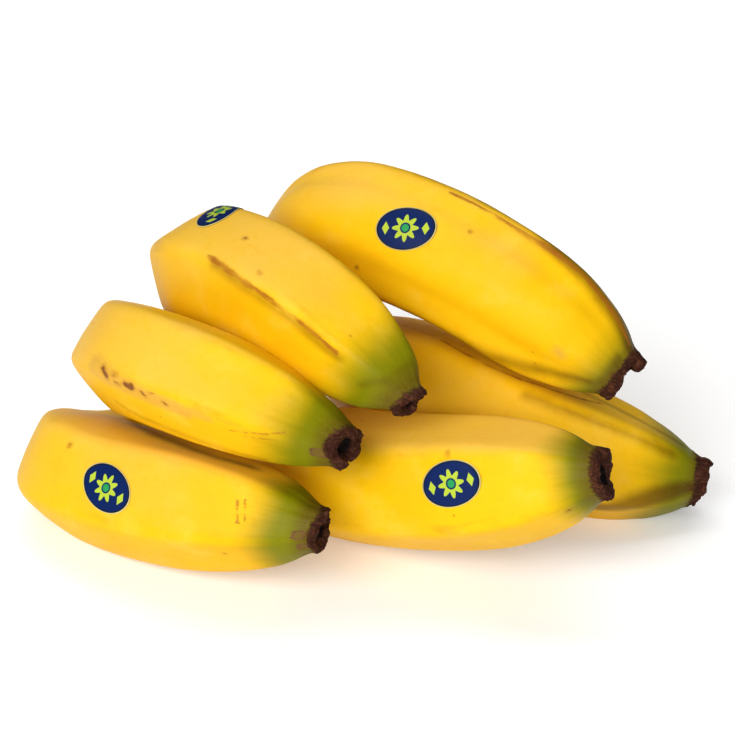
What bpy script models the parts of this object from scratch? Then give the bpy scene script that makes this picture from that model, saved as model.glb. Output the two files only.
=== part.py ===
"""A hand of six bananas, cut from its bunch and lying on a table. Blender 4.5, metres, +Z up.

The fingers sit in two rows of three on the crown, the woody cushion that joined them to the bunch's stem.
Each finger is one solid from its stalk to its blossom end, and four of them carry an oval paper label.
Three fingers and the foot of the crown bear on the table at z = 0.
"""

import math
from collections import namedtuple

import bmesh
import bpy
from mathutils import Matrix, Vector

MM = 0.001

# Fruit: radius of a middling finger at its thickest, and the outline from stalk to blossom end as
# (share of the length, share of that radius).
FRUIT_RADIUS = 19.5 * MM
OUTLINE = (
    (0.00, 0.37),
    (0.06, 0.36),
    (0.12, 0.36),
    (0.17, 0.38),
    (0.22, 0.44),
    (0.27, 0.55),
    (0.36, 0.81),
    (0.42, 0.93),
    (0.49, 1.00),
    (0.61, 1.00),
    (0.73, 0.965),
    (0.83, 0.875),
    (0.91, 0.71),
    (0.96, 0.54),
    (0.985, 0.435),
    (1.00, 0.39),
)

# Shares of the length where a finger's own neck, and then its own scar, scale the outline.
NECK_SHARES = (0.70, 0.88)
SCAR_SHARES = (0.95, 1.00)

# Section: a rounded pentagon. The strength says how far it is from round, by share of the length.
SIDES = 5
POINTS_PER_SIDE = 5
EDGE_SHARPNESS = 6.0
EDGE_LEVEL = 1.045
EDGE_STRENGTH = ((0.0, 0.2), (0.14, 0.8), (0.3, 1.0), (0.55, 0.75), (0.85, 1.0), (0.97, 0.5), (1.0, 0.3))

# Rings of a finger follow a cosine, closer together towards the ends, from this share of its slow start on.
RINGS = 30
RING_START = 0.12

# Blossom end: the dry scar where the flower fell, a lumpy rim round a hollow. Its rings are (share of the
# neck's radius, how far out along the finger, height of the lumps), and the lumps add waves of so many
# turns and weights.
SCAR_RINGS = ((1.06, 0.0, 1.2 * MM), (0.86, 1.6 * MM, 1.2 * MM), (0.45, -0.6 * MM, 0.0))
SCAR_WAVES = ((2, 0.6), (3, 0.4))

# Crown: its seats are in two rows. The cushion stands behind them, bowed, with a knife cut across its back.
SEAT_PITCH = 17.0 * MM
ROW_GAP = 17.0 * MM
SEAT_SWEEP = 2.0 * MM
CROWN_CENTRE = Vector((-50.0, 50.0, 22.9)) * MM
CROWN_OUT = Vector((-0.31, -0.73, 0.61)).normalized()
CROWN_LONG_GUIDE = Vector((0.10, 0.62, 0.78))
CUSHION_OUT = Vector((-0.33, -0.79, 0.51)).normalized()
CUSHION_SIZE = Vector((35.0, 24.0, 64.0)) * MM
CUSHION_SET_BACK = 17.0 * MM
CUSHION_BOW = 4.0 * MM
CUT_SET_BACK = 24.0 * MM
CUTTER_SIZE = 160.0 * MM
STUB_LENGTH = 17.0 * MM
STUB_ROOT_RADIUS = 9.0 * MM
STUB_SIDES = 24
JOINT_GAP = 0.3 * MM

# A finger's row is 1 for the left one and -1 for the right, and its place counts up the crown. Girth scales
# its outline, neck and scar scale its end. Turn is the roll of its edges in degrees, and skew shifts them
# unevenly by up to so many degrees, most where the angle plus SKEW_PHASE is upright. The Bezier poles of its
# middle line, after the seat, are in millimetres.
SKEW_PHASE = 25.0
Finger = namedtuple("Finger", "name row place girth neck scar turn skew bend_in bend_out tip")
FINGERS = (
    Finger("banana_top_right", -1, 1, 1.07, 1.08, 1.0, 23, 16, (-30, 37, 85), (5, -4, 105), (76.3, -29, 52.3)),
    Finger("banana_top_left", 1, 1, 0.94, 1.02, 0.74, 71, 0, (-67, 16, 73), (-37, -24, 97.4), (12, -64, 60)),
    Finger("banana_middle_left", 1, 0, 0.85, 1.0, 0.95, 2, 0, (-92, -10, 52), (-69, -58, 78), (-6, -73, 50)),
    Finger("banana_front_left", 1, -1, 0.97, 0.96, 0.9, 65, 0, (-107, -15, 16.2), (-104, -31, 20), (-13.3, -77, 26)),
    Finger("banana_front_right", -1, -1, 1.02, 1.0, 0.93, 69, 0, (-51, 2, 17), (-11, -36, 10), (66, -80, 45)),
    Finger("banana_back_right", -1, 0, 1.07, 1.0, 0.9, 39, 0, (-26, 15, 63), (41, -18, 20), (103, -18, 12)),
)

# Labels: their full size, how far above the middle line they come down from, and where each lies on its
# finger, as share of the length, angle round it from the steady side in degrees, and turn in its own plane.
LABEL_LONG = 19.2 * MM
LABEL_WIDE = 13.4 * MM
LABEL_THICKNESS = 0.3 * MM
LABEL_CLEARANCE = 0.42 * MM
LABEL_RINGS = 4
LABEL_SIDES = 24
LABEL_START = 29.0 * MM
Label = namedtuple("Label", "name finger share angle spin")
LABELS = (
    Label("label_top_right", "banana_top_right", 0.595, 125, 21),
    Label("label_top_left", "banana_top_left", 0.505, 49, -52),
    Label("label_front_left", "banana_front_left", 0.645, 70, -20),
    Label("label_front_right", "banana_front_right", 0.777, 62, 10),
)

PEEL = ("peel", (0.94, 0.55, 0.015, 1.0), 0.42)
SCAR = ("dry_scar", (0.045, 0.02, 0.012, 1.0), 0.85)
CROWN = ("crown", (0.30, 0.24, 0.06, 1.0), 0.7)
LABEL = ("label", (0.008, 0.03, 0.13, 1.0), 0.4)


def smooth_through(points, x):
    """Value at x of a smooth curve through (x, value) points."""
    last = len(points) - 1
    slopes = []
    for i in range(last + 1):
        before = points[max(i - 1, 0)]
        after = points[min(i + 1, last)]
        slopes.append((after[1] - before[1]) / (after[0] - before[0]))
    i = max(j for j in range(last) if points[j][0] <= x)
    (x0, y0), (x1, y1) = points[i], points[i + 1]
    span = x1 - x0
    t = (x - x0) / span
    rise = (2 * t**3 - 3 * t**2 + 1) * y0 + (3 * t**2 - 2 * t**3) * y1
    return rise + span * ((t**3 - 2 * t**2 + t) * slopes[i] + (t**3 - t**2) * slopes[i + 1])


def crown_axes():
    """Unit vectors across the rows, out along the fingers, and along the crown."""
    across = CROWN_OUT.cross(CROWN_LONG_GUIDE).normalized()
    return across, CROWN_OUT, across.cross(CROWN_OUT)


def seat_of(finger):
    """Where a finger's stalk meets the crown."""
    across, out, along = crown_axes()
    shift = across * (finger.row * ROW_GAP / 2) + along * (finger.place * SEAT_PITCH)
    return CROWN_CENTRE + shift - out * (abs(finger.place) * SEAT_SWEEP)


def poles_of(finger):
    """The four poles of the Bezier curve that the finger's middle line follows."""
    return [seat_of(finger)] + [Vector(pole) * MM for pole in (finger.bend_in, finger.bend_out, finger.tip)]


def bezier(poles, t):
    a, b, c, d = poles
    u = 1 - t
    return a * u**3 + b * (3 * t * u**2) + c * (3 * t**2 * u) + d * t**3


class Spine:
    """A finger's middle line by share of its length, with a steady side direction."""

    STEPS = 240

    def __init__(self, finger):
        poles = poles_of(finger)
        self.points = [bezier(poles, i / self.STEPS) for i in range(self.STEPS + 1)]
        self.run = [0.0]
        for p, q in zip(self.points, self.points[1:]):
            self.run.append(self.run[-1] + (q - p).length)
        self.length = self.run[-1]
        a, b, c, d = poles
        self.side = ((b - a).cross(d - a) + (c - a).cross(d - b)).normalized()

    def at(self, share):
        """Point, direction, side and lift there."""
        goal = min(max(share, 0.0), 1.0) * self.length
        i = min(max(j for j, r in enumerate(self.run) if r <= goal), self.STEPS - 1)
        point = self.points[i].lerp(self.points[i + 1], (goal - self.run[i]) / (self.run[i + 1] - self.run[i]))
        low = max(i - 2, 0)
        high = min(i + 3, self.STEPS)
        ahead = (self.points[high] - self.points[low]).normalized()
        side = (self.side - ahead * self.side.dot(ahead)).normalized()
        return point, ahead, side, ahead.cross(side)


def edged(angle):
    """Radius of the rounded pentagon at an angle from the middle of a face, 1 on average."""
    faces = [math.cos(angle - k * math.tau / SIDES) for k in range(SIDES)]
    total = sum(max(0.0, c) ** EDGE_SHARPNESS for c in faces)
    return total ** (-1 / EDGE_SHARPNESS) / EDGE_LEVEL


def ease(x, start, end):
    """Rises smoothly from 0 at the start to 1 at the end."""
    t = min(max((x - start) / (end - start), 0.0), 1.0)
    return t * t * (3 - 2 * t)


def mean_radius(finger, share):
    """Radius of a finger's section on average round it."""
    own_end = 1 + (finger.neck - 1) * ease(share, *NECK_SHARES)
    own_end += (finger.scar - finger.neck) * ease(share, *SCAR_SHARES)
    return FRUIT_RADIUS * finger.girth * smooth_through(OUTLINE, share) * own_end


def radius_at(finger, share, angle):
    """Radius of a finger's section at an angle from the middle of a face."""
    return mean_radius(finger, share) * (1 + smooth_through(EDGE_STRENGTH, share) * (edged(angle) - 1))


def scar_wave(finger, angle):
    """Height of the blossom end's lumps at an angle, between -1 and 1 and different for each finger."""
    return sum(weight * math.cos(turns * (angle + finger.turn)) for turns, weight in SCAR_WAVES)


def ring_of(spine, finger, share, scale=1.0, shift=0.0, lump=0.0):
    """Points of one section, the first on an edge, shifted along the spine with lumps of a height."""
    point, ahead, side, lift = spine.at(share)
    ring = []
    count = SIDES * POINTS_PER_SIDE
    for k in range(count):
        angle = math.tau * (k / count + 0.5 / SIDES)
        around = angle + math.radians(finger.turn)
        around += math.radians(finger.skew) * math.sin(around + math.radians(SKEW_PHASE))
        outward = side * math.cos(around) + lift * math.sin(around)
        along = shift + lump * scar_wave(finger, angle)
        ring.append(point + ahead * along + outward * (radius_at(finger, share, angle) * scale))
    return ring


def body_shares():
    """Shares of the length with a ring, closer together towards both ends."""
    steps = [RING_START + (1 - RING_START) * i / RINGS for i in range(1, RINGS)]
    return [0.5 - 0.5 * math.cos(math.pi * step) for step in steps]


def finger_rings(finger):
    """The sections of a finger from its stalk to the hollow of its blossom end."""
    spine = Spine(finger)
    rings = [ring_of(spine, finger, share) for share in [JOINT_GAP / spine.length] + body_shares()]
    return rings + [ring_of(spine, finger, 1.0, *ring) for ring in SCAR_RINGS]


def loft(name, rings, scar_rings):
    """One closed solid through the rings. What would pass under the table lies flat on it."""
    bm = bmesh.new()
    loops = [[bm.verts.new((p.x, p.y, max(p.z, 0.0))) for p in ring] for ring in rings]
    count = len(loops[0])
    for i, (low, high) in enumerate(zip(loops, loops[1:])):
        for k in range(count):
            face = bm.faces.new((low[k], low[(k + 1) % count], high[(k + 1) % count], high[k]))
            face.material_index = int(i >= len(rings) - scar_rings)
            face.smooth = True
    bm.faces.new(list(reversed(loops[0])))
    bm.faces.new(loops[-1]).material_index = 1
    bmesh.ops.recalc_face_normals(bm, faces=bm.faces)
    mesh = bpy.data.meshes.new(name)
    bm.to_mesh(mesh)
    bm.free()
    return mesh


def material(entry):
    """The Principled material of an entry, made once."""
    name, colour, roughness = entry
    made = bpy.data.materials.get(name) or bpy.data.materials.new(name)
    made.use_nodes = True
    shader = made.node_tree.nodes["Principled BSDF"]
    shader.inputs["Base Color"].default_value = colour
    shader.inputs["Roughness"].default_value = roughness
    shader.inputs["Metallic"].default_value = 0.0
    return made


def build_finger(finger, collection):
    mesh = loft(finger.name, finger_rings(finger), len(SCAR_RINGS))
    mesh.materials.append(material(PEEL))
    mesh.materials.append(material(SCAR))
    obj = bpy.data.objects.new(finger.name, mesh)
    collection.objects.link(obj)
    return obj


def placement(centre, x_axis, y_axis, z_axis):
    """A placement from a centre and three unit axes."""
    turn = Matrix((x_axis, y_axis, z_axis)).transposed().to_4x4()
    return Matrix.Translation(centre) @ turn


def add_object(name, bm, collection, matrix=None):
    """An object with the bmesh as its mesh, which is freed."""
    mesh = bpy.data.meshes.new(name)
    bm.to_mesh(mesh)
    bm.free()
    obj = bpy.data.objects.new(name, mesh)
    if matrix:
        obj.matrix_world = matrix
    collection.objects.link(obj)
    return obj


def hide_tool(obj):
    obj.hide_render = True
    obj.display_type = "WIRE"
    return obj


def build_stub(finger, collection):
    """The short flared branch of the crown that a finger's stalk sits on."""
    seat, ahead, side, lift = Spine(finger).at(0.0)
    bm = bmesh.new()
    bmesh.ops.create_cone(
        bm,
        cap_ends=True,
        segments=STUB_SIDES,
        radius1=STUB_ROOT_RADIUS,
        radius2=radius_at(finger, 0.0, 0.0),
        depth=STUB_LENGTH,
    )
    middle = seat - ahead * (STUB_LENGTH / 2)
    return hide_tool(add_object("stub", bm, collection, placement(middle, side, lift, ahead)))


def build_cutter(name, centre, x_axis, y_axis, z_axis, collection):
    """A cube whose -Z face, through the centre, is a cut."""
    bm = bmesh.new()
    bmesh.ops.create_cube(bm, size=CUTTER_SIZE)
    matrix = placement(centre + z_axis * (CUTTER_SIZE / 2), x_axis, y_axis, z_axis)
    return hide_tool(add_object(name, bm, collection, matrix))


def boolean(obj, operation, other):
    """A Boolean modifier with an object or a collection."""
    step = obj.modifiers.new(operation.lower(), "BOOLEAN")
    step.operation = operation
    step.solver = "EXACT"
    if isinstance(other, bpy.types.Collection):
        step.operand_type = "COLLECTION"
        step.collection = other
    else:
        step.object = other


def build_crown(hand, tools):
    """The cushion with its six stubs, cut flat behind and flat where it stands on the table."""
    across, _, _ = crown_axes()
    out = (CUSHION_OUT - across * CUSHION_OUT.dot(across)).normalized()
    along = across.cross(out)
    bm = bmesh.new()
    bmesh.ops.create_cube(bm, size=1.0)
    long_edges = [e for e in bm.edges if abs((e.verts[0].co - e.verts[1].co).z) > 0.5]
    bmesh.ops.subdivide_edges(bm, edges=long_edges, cuts=3, use_grid_fill=True)
    for vert in bm.verts:
        vert.co = vert.co * CUSHION_SIZE
        vert.co.y -= CUSHION_BOW * (2 * vert.co.z / CUSHION_SIZE.z) ** 2
    centre = CROWN_CENTRE - out * CUSHION_SET_BACK
    crown = add_object("crown", bm, hand, placement(centre, across, out, along))
    for face in crown.data.polygons:
        face.use_smooth = True
    round_off = crown.modifiers.new("round_off", "SUBSURF")
    round_off.levels = 2
    round_off.render_levels = 2
    stubs = bpy.data.collections.new("stubs")
    tools.children.link(stubs)
    for finger in FINGERS:
        build_stub(finger, stubs)
    boolean(crown, "UNION", stubs)
    knife = build_cutter("knife_cut", CROWN_CENTRE - out * CUT_SET_BACK, across, -along, -out, tools)
    boolean(crown, "DIFFERENCE", knife)
    table = build_cutter("table_cut", Vector(), Vector((1, 0, 0)), Vector((0, -1, 0)), Vector((0, 0, -1)), tools)
    boolean(crown, "DIFFERENCE", table)
    crown.data.materials.append(material(CROWN))
    return crown


def build_label(label, finger, target, collection):
    """A thin paper oval that follows the peel."""
    spine = Spine(finger)
    point, ahead, side, lift = spine.at(label.share)
    around = math.radians(label.angle)
    outward = side * math.cos(around) + lift * math.sin(around)
    spin = math.radians(label.spin)
    x_axis = ahead * math.cos(spin) + outward.cross(ahead) * math.sin(spin)
    centre = point + outward * LABEL_START
    bm = bmesh.new()
    bmesh.ops.create_circle(bm, cap_ends=True, segments=LABEL_SIDES, radius=1.0)
    for _ in range(LABEL_RINGS - 1):
        middle = min(bm.faces, key=lambda face: face.calc_center_median().length)
        bmesh.ops.inset_individual(bm, faces=[middle], thickness=1 / LABEL_RINGS)
    bmesh.ops.scale(bm, vec=(LABEL_LONG / 2, LABEL_WIDE / 2, 1.0), verts=bm.verts)
    for face in bm.faces:
        face.smooth = True
    obj = add_object(label.name, bm, collection, placement(centre, x_axis, outward.cross(x_axis), outward))
    wrap = obj.modifiers.new("lie_on_peel", "SHRINKWRAP")
    wrap.target = target
    wrap.wrap_method = "PROJECT"
    wrap.use_project_z = True
    wrap.use_negative_direction = True
    wrap.use_positive_direction = False
    wrap.offset = LABEL_CLEARANCE
    paper = obj.modifiers.new("paper", "SOLIDIFY")
    paper.thickness = LABEL_THICKNESS
    paper.offset = 1.0
    obj.data.materials.append(material(LABEL))
    return obj


def main():
    for obj in list(bpy.data.objects):
        bpy.data.objects.remove(obj)
    hand = bpy.data.collections.new("banana_hand")
    tools = bpy.data.collections.new("banana_hand_tools")
    bpy.context.scene.collection.children.link(hand)
    bpy.context.scene.collection.children.link(tools)
    build_crown(hand, tools)
    fingers = {finger.name: (finger, build_finger(finger, hand)) for finger in FINGERS}
    for label in LABELS:
        build_label(label, *fingers[label.finger], hand)


main()
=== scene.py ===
"""The finished look of a hand of six bananas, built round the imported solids. Metres, +Z up.

Laid out as a Blender add-on and run as a script. Each finger's skin, with its blossom end, follows one rule:
a rounded pentagon carried along a curved middle line. The crown is grown over its solid, and four paper
ovals lie on the peel.
"""

import math
from collections import namedtuple

import bmesh
import bpy
import numpy as np
from bpy.props import FloatProperty, FloatVectorProperty, IntProperty, PointerProperty
from mathutils import Matrix, Vector
from mathutils.bvhtree import BVHTree


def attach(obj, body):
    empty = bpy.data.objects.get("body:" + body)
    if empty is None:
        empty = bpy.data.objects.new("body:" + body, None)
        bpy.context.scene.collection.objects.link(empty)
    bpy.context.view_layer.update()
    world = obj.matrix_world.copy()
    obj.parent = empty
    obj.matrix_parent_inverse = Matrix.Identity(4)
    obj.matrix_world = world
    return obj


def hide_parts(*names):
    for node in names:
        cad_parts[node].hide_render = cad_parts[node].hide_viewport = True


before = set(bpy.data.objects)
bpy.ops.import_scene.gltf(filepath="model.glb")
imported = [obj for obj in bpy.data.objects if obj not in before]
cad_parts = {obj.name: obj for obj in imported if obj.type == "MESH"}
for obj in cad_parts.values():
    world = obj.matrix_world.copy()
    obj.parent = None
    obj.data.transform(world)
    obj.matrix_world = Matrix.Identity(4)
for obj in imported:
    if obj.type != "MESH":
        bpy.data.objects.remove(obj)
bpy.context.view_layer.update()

bl_info = {
    "name": "Hand of bananas",
    "version": (1, 0, 0),
    "blender": (4, 5, 0),
    "location": "3D View > Sidebar > Bananas",
    "description": "Builds the skins, crown and labels of a hand of six bananas, and a plain stage for it",
    "category": "Object",
}

MM = 0.001
WHITE = (1.0, 1.0, 1.0, 1.0)

# Outline of a finger from stalk to blossom end, as (share of the length, share of the greatest radius).
OUTLINE = (
    (0.00, 0.37), (0.06, 0.36), (0.12, 0.36), (0.17, 0.38),
    (0.22, 0.44), (0.27, 0.55), (0.36, 0.81), (0.42, 0.93),
    (0.49, 1.00), (0.61, 1.00), (0.73, 0.965), (0.83, 0.875),
    (0.91, 0.71), (0.96, 0.54), (0.985, 0.435), (1.00, 0.39),
)
# Shares of the length where a finger's own neck, and then its own scar, scale the outline.
NECK_SHARES = (0.70, 0.88)
SCAR_SHARES = (0.95, 1.00)
# How far a section is from round, as (share of the length, amount).
EDGE_STRENGTH = ((0.0, 0.2), (0.14, 0.8), (0.3, 1.0), (0.55, 0.75), (0.85, 1.0), (0.97, 0.5), (1.0, 0.3))
# A section is a rounded pentagon: its sides, how sharp its edges are, and its mean radius, which is brought
# back to 1.
SIDES = 5
EDGE_SHARPNESS = 12.0
EDGE_LEVEL = 1.066

# Blossom end from the lip to the middle of its hollow: radius as a share of the neck's, and how far the
# surface stands out along the finger as a share of the lip's height.
LIP_RADIUS = (
    (0.0, 1.0), (0.14, 0.98), (0.28, 0.92), (0.42, 0.80),
    (0.56, 0.64), (0.72, 0.44), (0.86, 0.22), (1.0, 0.0),
)
LIP_RISE = (
    (0.0, 0.30), (0.14, 0.55), (0.28, 0.84), (0.42, 1.0),
    (0.56, 0.82), (0.72, 0.3), (0.86, 0.03), (1.0, 0.08),
)
# A finger's sheet: the share of its rings that make the body, how they crowd towards the blossom end, how
# deep the stalk is sunk in the crown, and how far the pattern runs on into the hollow.
BODY_PART = 0.84
RING_CROWDING = 1.25
STALK_SINK = 2.5 * MM
HOLLOW_RUN = 12.0 * MM

# Crown: where its seats are, and where it was cut.
SEAT_PITCH = 17.0 * MM
ROW_GAP = 17.0 * MM
SEAT_SWEEP = 2.0 * MM
CROWN_CENTRE = Vector((-50.0, 50.0, 22.9)) * MM
CROWN_OUT = Vector((-0.31, -0.73, 0.61)).normalized()
CROWN_LONG_GUIDE = Vector((0.10, 0.62, 0.78))
CUSHION_OUT = Vector((-0.33, -0.79, 0.51)).normalized()
CUT_SET_BACK = 24.0 * MM
CROWN_RELIEF = 0.6 * MM
FIBRE_DENSITY = 150000.0
FIBRE_SEED = 4
# The sleeve from crown to stalk: its length, how far its middle stands out, and how much thicker than the
# stalk it is at its root and at its far end.
SLEEVE_LENGTH = 12.0 * MM
SLEEVE_OUT = 1.0 * MM
SLEEVE_ROOT = 0.9 * MM
SLEEVE_FAR = -0.6 * MM
# No fibre grows nearer to the floor than this.
FIBRE_CLEARANCE = 4.0 * MM

# A finger's row is 1 for the left one and -1 for the right, and its place counts up the crown. Girth scales
# its outline, neck and scar scale its end. Turn is the roll of its edges in degrees, and skew shifts them
# unevenly by up to so many degrees. The poles of its middle line, after the seat, are in millimetres.
Finger = namedtuple("Finger", "place_name row place girth neck scar turn skew bend_in bend_out tip")
FINGERS = (
    Finger("top_right", -1, 1, 1.07, 1.08, 1.0, 23, 16, (-30, 37, 85), (5, -4, 105), (76.3, -29, 52.3)),
    Finger("top_left", 1, 1, 0.94, 1.02, 0.74, 71, 0, (-67, 16, 73), (-37, -24, 97.4), (12, -64, 60)),
    Finger("middle_left", 1, 0, 0.85, 1.0, 0.95, 2, 0, (-92, -10, 52), (-69, -58, 78), (-6, -73, 50)),
    Finger("front_left", 1, -1, 0.97, 0.96, 0.9, 65, 0, (-107, -15, 16.2), (-104, -31, 20), (-13.3, -77, 26)),
    Finger("front_right", -1, -1, 1.02, 1.0, 0.93, 69, 0, (-51, 2, 17), (-11, -36, 10), (66, -80, 45)),
    Finger("back_right", -1, 0, 1.07, 1.0, 0.9, 39, 0, (-26, 15, 63), (41, -18, 20), (103, -18, 12)),
)
# Skew is greatest where an angle round the finger and this one, in degrees, add up to a right angle.
SKEW_PHASE = 25.0
# How far each finger's pattern is moved on, in metres, so that no two are alike.
PATTERN_STEP = 0.4

# How much of one lengthwise edge has worn round, and the angle of that edge round the finger.
WORN_EDGES = {"top_right": (1.0, 130)}

# A blossom end: where green begins and how strong it is, where the peel turns dry, the tilt of the scar as
# slopes to the side and up, and the heights in millimetres and angles in degrees of its lobes of one, two
# and three waves.
Ending = namedtuple("Ending", "green_from green_amount dry_from tilt lobe_heights lobe_angles")
ENDINGS = {
    "top_right": Ending(0.89, 0.7, 0.984, (0.0, 0.0), (0.7, 1.2, 0.5), (36, 30, 36)),
    "top_left": Ending(0.84, 0.95, 0.994, (0.08, 0.0), (0.3, 0.4, 0.3), (40, 80, 10)),
    "middle_left": Ending(0.84, 1.0, 0.993, (-0.03, -0.6), (0.3, 0.6, 0.5), (30, 10, 50)),
    "front_left": Ending(0.87, 1.0, 0.994, (0.05, 0.16), (0.4, 0.6, 0.5), (347, 20, 30)),
    "front_right": Ending(0.90, 0.8, 0.992, (0.08, 0.2), (0.2, 0.9, 0.4), (334, 334, 60)),
    "back_right": Ending(0.84, 1.0, 0.980, (0.0, 0.0), (0.5, 0.8, 0.7), (20, 70, 20)),
}
# The share of the length by which green is full.
GREEN_FULL = 0.975

# Wear and painted shade on each finger's peel: its kind, half its width in millimetres, and the (share of the
# length, angle round the finger in degrees) points that it runs through. Marks of the shade kind are painted
# shade: darker bands on faces turned from the light, under the edge of a neighbour and in the slits where
# fingers meet. A width below nothing leaves only the soft rim of a mark, so it is fainter.
MARKS = {
    "top_left": (
        ("scuff", 0.42, ((0.60, 105), (0.63, 107), (0.69, 110), (0.74, 111), (0.80, 112), (0.885, 115))),
        ("shade", -0.2, ((0.62, 109), (0.64, 111), (0.69, 114), (0.74, 115), (0.80, 116), (0.89, 119))),
        ("shade", -0.6, ((0.94, 135), (0.965, 105), (0.965, 70), (0.965, 40))),
        ("spot", 0.45, ((0.624, 71),)),
        ("spot", 0.2, ((0.70, 96), (0.705, 97))),
    ),
    "top_right": (
        ("scuff", 0.4, ((0.62, 78), (0.75, 79), (0.85, 77), (0.93, 78), (0.975, 78))),
        ("shade", -1.0, ((0.56, 68), (0.70, 66))),
        ("shade", 0.8, ((0.66, 66), (0.80, 63))),
        ("shade", 3.2, ((0.78, 63), (0.85, 62), (0.99, 60))),
        ("shade", 2.6, ((0.80, 70), (0.90, 74), (0.97, 78))),
        ("shade", 0.5, ((0.58, 202), (0.68, 198), (0.80, 190), (0.90, 178), (0.96, 170))),
        ("shade", -0.8, ((0.975, 165), (0.98, 140), (0.975, 110))),
        ("cork", 0.9, ((0.93, 66), (0.97, 62), (1.0, 58))),
        ("spot", 0.5, ((0.528, 173),)),
        ("spot", 0.35, ((0.680, 103),)),
        ("bruise", 0.3, ((0.89, 150), (0.90, 152))),
    ),
    "middle_left": (
        ("bruise", 2.4, ((0.585, 108), (0.632, 115), (0.684, 119), (0.76, 123))),
        ("bruise", 0.5, ((0.76, 118), (0.80, 121))),
        ("spot", 0.7, ((0.609, 107), (0.614, 110), (0.617, 113))),
        ("spot", 0.3, ((0.634, 109), (0.640, 108))),
        ("spot", 0.2, ((0.636, 117), (0.644, 118))),
        ("spot", 0.9, ((0.660, 115), (0.668, 116), (0.672, 114))),
        ("spot", 0.45, ((0.690, 117), (0.694, 120))),
        ("spot", 0.15, ((0.704, 114), (0.712, 113))),
        ("spot", 0.5, ((0.728, 120), (0.731, 122))),
        ("scratch", 0.22, ((0.835, 128), (0.86, 122), (0.885, 115), (0.916, 103))),
        ("scratch", 0.12, ((0.85, 133), (0.88, 126), (0.91, 118))),
        ("shade", -0.6, ((0.592, 152), (0.646, 163), (0.704, 166), (0.80, 172), (0.89, 175))),
        ("cork", 2.4, ((0.984, 128), (0.984, 138))),
    ),
    "front_left": (
        ("scratch", 0.46, ((0.880, 54), (0.888, 80))),
        ("scratch", 0.34, ((0.892, 50), (0.899, 76))),
        ("spot", 0.4, ((0.544, 42),)),
        ("spot", 0.45, ((0.858, 124),)),
        # A band of painted shadow in the slit under the middle left finger.
        ("shade", 1.4, ((0.55, 326), (0.586, 334), (0.68, 350), (0.746, 359), (0.80, 362), (0.86, 352))),
        ("cork", 1.9, ((0.980, 86), (0.980, 94))),
        ("cork", 1.8, ((0.984, 116), (0.986, 126))),
    ),
    "front_right": (
        ("spot", 0.4, ((0.774, 37),)),
        ("spot", 0.45, ((0.950, 117),)),
    ),
    "back_right": (
        ("scuff", 0.1, ((0.80, 77), (0.87, 76), (0.93, 76))),
        # These two scuffs are mostly a painted shadow line along the edge of the top right finger that lies
        # over this one, with a little rubbing there too.
        ("scuff", 0.3, ((0.41, 47), (0.45, 54), (0.49, 60), (0.53, 65), (0.57, 68), (0.64, 69))),
        ("scuff", 0.2, ((0.64, 69), (0.70, 65), (0.75, 59), (0.79, 49))),
        ("shade", 0.2, ((0.66, 36), (0.80, 42), (0.95, 48))),
        ("shade", 0.5, ((0.60, 188), (0.76, 172))),
        ("shade", 3.0, ((0.74, 174), (0.84, 162), (0.91, 140), (0.97, 125))),
        ("shade", -0.2, ((0.66, 82), (0.78, 81), (0.87, 81), (0.93, 82))),
    ),
}
MARK_KINDS = ("scuff", "shade", "spot", "scratch", "bruise", "cork")
FAR_FROM_MARK = 20.0

# How a mark of a kind fades: from nothing at the start to full at the end, in millimetres from its edge, with
# the edge moved by clouds, blotches and fine roughness, and how strong it is.
Fade = namedtuple("Fade", "kind start end clouds blotches rough strength")
BRUISE = Fade("bruise", 2.4, -0.6, 3.0, 0.0, 3.0, 0.55)
# Shade marks are painted shade: they darken the peel where it is turned from the light or lies under a
# neighbour.
SHADE = Fade("shade", 3.6, -2.0, 2.5, 3.0, 0.0, 0.68)
SCUFF = Fade("scuff", 0.6, -0.2, 0.0, 1.6, 1.4, 1.0)
SCRATCH = Fade("scratch", 0.3, -0.1, 0.0, 0.0, 1.2, 0.7)
SPOT = Fade("spot", 0.25, -0.15, 0.0, 0.0, 1.4, 1.0)
HALO = Fade("spot", 1.3, -0.2, 1.5, 0.0, 1.6, 0.6)
CORK = Fade("cork", 0.4, -0.2, 1.5, 0.0, 2.0, 1.0)
CORK_MIDDLE = Fade("cork", -0.4, -1.4, 1.5, 0.0, 2.0, 0.55)

# The way that the side of the fruit with the palest painted sheen faces: the side turned to the light above
# and to the left.
PAINTED_SHEEN_SIDE = (-0.52, 0.12, 0.85)

# Where each label lies: share of the finger's length, angle round it and turn in its own plane in degrees, and
# which of its ends has come loose.
Label = namedtuple("Label", "place_name share angle spin lifted_end")
LABELS = (
    Label("top_right", 0.595, 125, 21, 1.0),
    Label("top_left", 0.505, 49, -52, -1.0),
    Label("front_left", 0.645, 70, -20, -1.0),
    Label("front_right", 0.777, 62, 10, 1.0),
)
# The gap under the paper, the share of its half length from which its loose end lifts, how many fruit radii
# it is let down from, and the rings and corners of its mesh.
GLUE = 0.2 * MM
LIFT_FROM = 0.72
DROP_FROM = 1.6
LABEL_RINGS = 16
LABEL_SIDES = 72

CAMERA_TARGET = Vector((0.3, -37.6, 58.7)) * MM
CAMERA_ELEVATION = math.radians(23.8)
CAMERA_DISTANCE = 691.8 * MM
CAMERA_LENS = 115.2

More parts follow.
